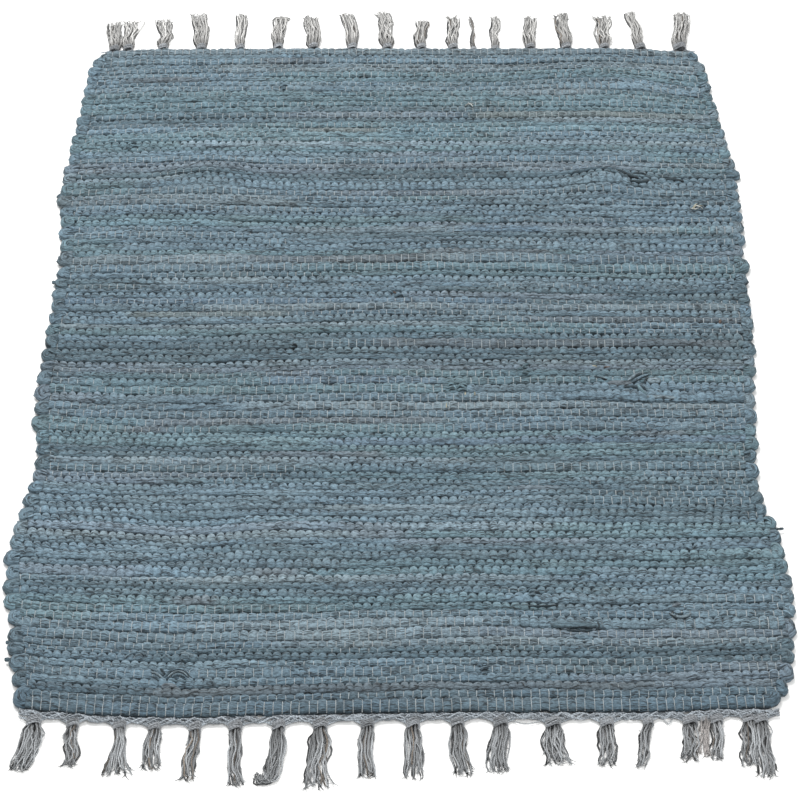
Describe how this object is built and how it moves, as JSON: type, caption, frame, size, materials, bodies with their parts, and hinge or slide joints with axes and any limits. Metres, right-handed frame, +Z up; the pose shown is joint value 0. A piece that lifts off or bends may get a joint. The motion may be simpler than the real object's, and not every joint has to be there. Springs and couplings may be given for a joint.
{
  "type": "woven rag kitchen mat",
  "caption": "Flat woven cotton rag mat, ribbed across its width, with looped side edges and a knotted yarn fringe at both ends.",
  "frame": {"origin": "middle of the footprint, fringes included, on the floor", "axes": "+Y along the mat towards its far end, +X to the right, +Z up from the floor"},
  "size_m": [0.6251, 1.0493, 0.0126],
  "materials": {
    "rag_cloth": "matt woven cotton rag, dyed slate blue-grey",
    "grey_yarn": "fuzzy spun cotton yarn, pale grey"
  },
  "bodies": {
    "root": {"rag_cloth": "rag_cloth", "near_fringe": "grey_yarn", "far_fringe": "grey_yarn"}
  },
  "joints": []
}
